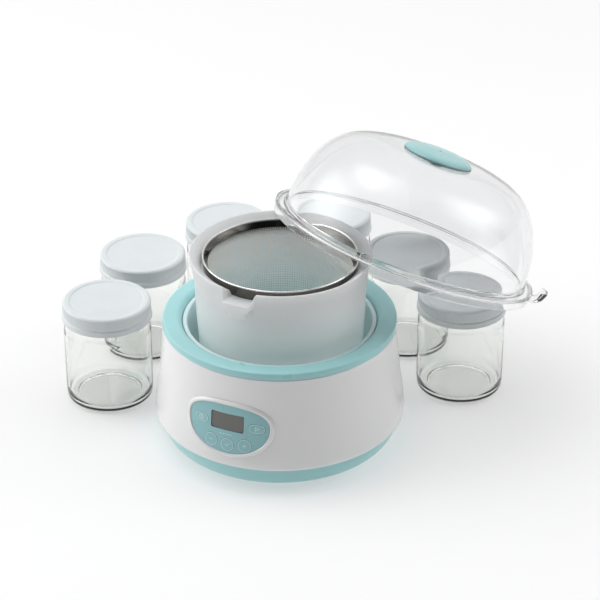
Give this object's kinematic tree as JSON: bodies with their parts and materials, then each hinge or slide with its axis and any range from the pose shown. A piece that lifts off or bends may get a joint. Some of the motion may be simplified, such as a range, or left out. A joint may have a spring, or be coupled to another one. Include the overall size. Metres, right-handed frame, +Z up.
{
  "type": "yogurt maker",
  "caption": "Round countertop yogurt maker with a heated base, control panel, yogurt tub, mesh strainer, clear domed lid with a knob, and lidded glass jars.",
  "frame": {"origin": "middle of the set's footprint on the table", "axes": "+Z up, -Y towards the viewer's side, +X along the set's longest side, towards the leaning lid"},
  "size_m": [0.3756, 0.3304, 0.2137],
  "materials": {
    "aqua_plastic": "satin",
    "white_plastic": "gloss",
    "frosted_plastic": "frosted translucent",
    "well_plastic": "satin",
    "clear_plastic": "clear polished",
    "jar_glass": "clear",
    "cap_enamel": "satin enamel",
    "steel": "brushed",
    "steel_mesh": "woven wire",
    "aluminium": "satin",
    "display": "gloss",
    "circuit_board": "satin",
    "black_plastic": "matte",
    "capacitor_plastic": "matte",
    "rubber": "matte"
  },
  "bodies": {
    "base": {"base_housing": "white_plastic", "top_rim": "aqua_plastic", "base_tray": "aqua_plastic", "heating_well": "well_plastic", "heater_plate": "aluminium", "heating_element": "aluminium", "element_clamp": "steel", "temperature_sensor": "steel", "thermal_fuse": "steel", "power_board": "circuit_board", "power_relay": "black_plastic", "mains_capacitor": "capacitor_plastic", "cord_gland": "rubber", "foot_1": "rubber", "foot_2": "rubber", "foot_3": "rubber", "foot_4": "rubber", "housing_screw_1": "steel", "housing_screw_2": "steel", "housing_screw_3": "steel", "housing_screw_4": "steel", "control_bezel": "white_plastic", "control_overlay": "aqua_plastic", "lcd_window": "display", "lcd_module": "black_plastic", "control_board": "circuit_board", "switch_timer": "black_plastic", "switch_start": "black_plastic", "switch_minus": "black_plastic", "switch_set": "black_plastic", "switch_plus": "black_plastic"},
    "tub": {"yogurt_tub": "frosted_plastic"},
    "strainer": {"strainer_hoop": "steel", "strainer_mesh": "steel_mesh"},
    "lid": {"lid_dome": "clear_plastic", "lid_knob": "aqua_plastic", "knob_washer": "clear_plastic", "knob_screw": "steel"},
    "timer_button": {"key_timer": "aqua_plastic"},
    "start_button": {"key_start": "aqua_plastic"},
    "minus_button": {"key_minus": "aqua_plastic"},
    "set_button": {"key_set": "aqua_plastic"},
    "plus_button": {"key_plus": "aqua_plastic"},
    "jar_a": {"jar_glass_a": "jar_glass"},
    "cap_a": {"jar_cap_a": "cap_enamel"},
    "jar_b": {"jar_glass_b": "jar_glass"},
    "cap_b": {"jar_cap_b": "cap_enamel"},
    "jar_c": {"jar_glass_c": "jar_glass"},
    "cap_c": {"jar_cap_c": "cap_enamel"},
    "jar_d": {"jar_glass_d": "jar_glass"},
    "cap_d": {"jar_cap_d": "cap_enamel"},
    "jar_e": {"jar_glass_e": "jar_glass"},
    "cap_e": {"jar_cap_e": "cap_enamel"},
    "jar_f": {"jar_glass_f": "jar_glass"},
    "cap_f": {"jar_cap_f": "cap_enamel"}
  },
  "joints": [
    {"name": "tub_lift", "type": "slide", "parent": "base", "child": "tub", "axis": [0, 0, 1], "range_m": [0, 0.12]},
    {"name": "strainer_lift", "type": "slide", "parent": "tub", "child": "strainer", "axis": [0, 0, 1], "range_m": [0, 0.09]},
    {"name": "lid_lift", "type": "slide", "parent": "strainer", "child": "lid", "axis": [0, 0, 1], "range_m": [0, 0.12]},
    {"name": "key_timer_press", "type": "slide", "parent": "base", "child": "timer_button", "axis": [0.4131, 0.9107, 0], "range_m": [0, 0.0004], "stiffness_N_per_m": 500},
    {"name": "key_start_press", "type": "slide", "parent": "base", "child": "start_button", "axis": [0.4131, 0.9107, 0], "range_m": [0, 0.0004], "stiffness_N_per_m": 500},
    {"name": "key_minus_press", "type": "slide", "parent": "base", "child": "minus_button", "axis": [0.4131, 0.9107, 0], "range_m": [0, 0.0004], "stiffness_N_per_m": 500},
    {"name": "key_set_press", "type": "slide", "parent": "base", "child": "set_button", "axis": [0.4131, 0.9107, 0], "range_m": [0, 0.0004], "stiffness_N_per_m": 500},
    {"name": "key_plus_press", "type": "slide", "parent": "base", "child": "plus_button", "axis": [0.4131, 0.9107, 0], "range_m": [0, 0.0004], "stiffness_N_per_m": 500},
    {"name": "jar_a_slide", "type": "slide", "parent": "base", "child": "jar_a", "axis": [-1, 0, 0], "range_m": [0, 0.04]},
    {"name": "cap_a_turn", "type": "hinge", "parent": "jar_a", "child": "cap_a", "pos_m": [-0.15368, -0.01918, 0.077], "axis": [0, 0, 1], "range_deg": [0, 270]},
    {"name": "jar_b_slide", "type": "slide", "parent": "base", "child": "jar_b", "axis": [-1, 0, 0], "range_m": [0, 0.04]},
    {"name": "cap_b_turn", "type": "hinge", "parent": "jar_b", "child": "cap_b", "pos_m": [-0.13008, 0.05842, 0.077], "axis": [0, 0, 1], "range_deg": [0, 270]},
    {"name": "jar_c_slide", "type": "slide", "parent": "base", "child": "jar_c", "axis": [0, 1, 0], "range_m": [0, 0.04]},
    {"name": "cap_c_turn", "type": "hinge", "parent": "jar_c", "child": "cap_c", "pos_m": [-0.06358, 0.11422, 0.077], "axis": [0, 0, 1], "range_deg": [0, 270]},
    {"name": "jar_d_slide", "type": "slide", "parent": "base", "child": "jar_d", "axis": [0, 1, 0], "range_m": [0, 0.04]},
    {"name": "cap_d_turn", "type": "hinge", "parent": "jar_d", "child": "cap_d", "pos_m": [0.02052, 0.13022, 0.077], "axis": [0, 0, 1], "range_deg": [0, 270]},
    {"name": "jar_e_slide", "type": "slide", "parent": "base", "child": "jar_e", "axis": [-0.7071, -0.7071, 0], "range_m": [0, 0.03]},
    {"name": "cap_e_turn", "type": "hinge", "parent": "jar_e", "child": "cap_e", "pos_m": [0.08282, 0.06332, 0.077], "axis": [0, 0, 1], "range_deg": [0, 270]},
    {"name": "jar_f_slide", "type": "slide", "parent": "base", "child": "jar_f", "axis": [0, -1, 0], "range_m": [0, 0.04]},
    {"name": "cap_f_turn", "type": "hinge", "parent": "jar_f", "child": "cap_f", "pos_m": [0.12242, -0.00598, 0.077], "axis": [0, 0, 1], "range_deg": [0, 270]}
  ]
}
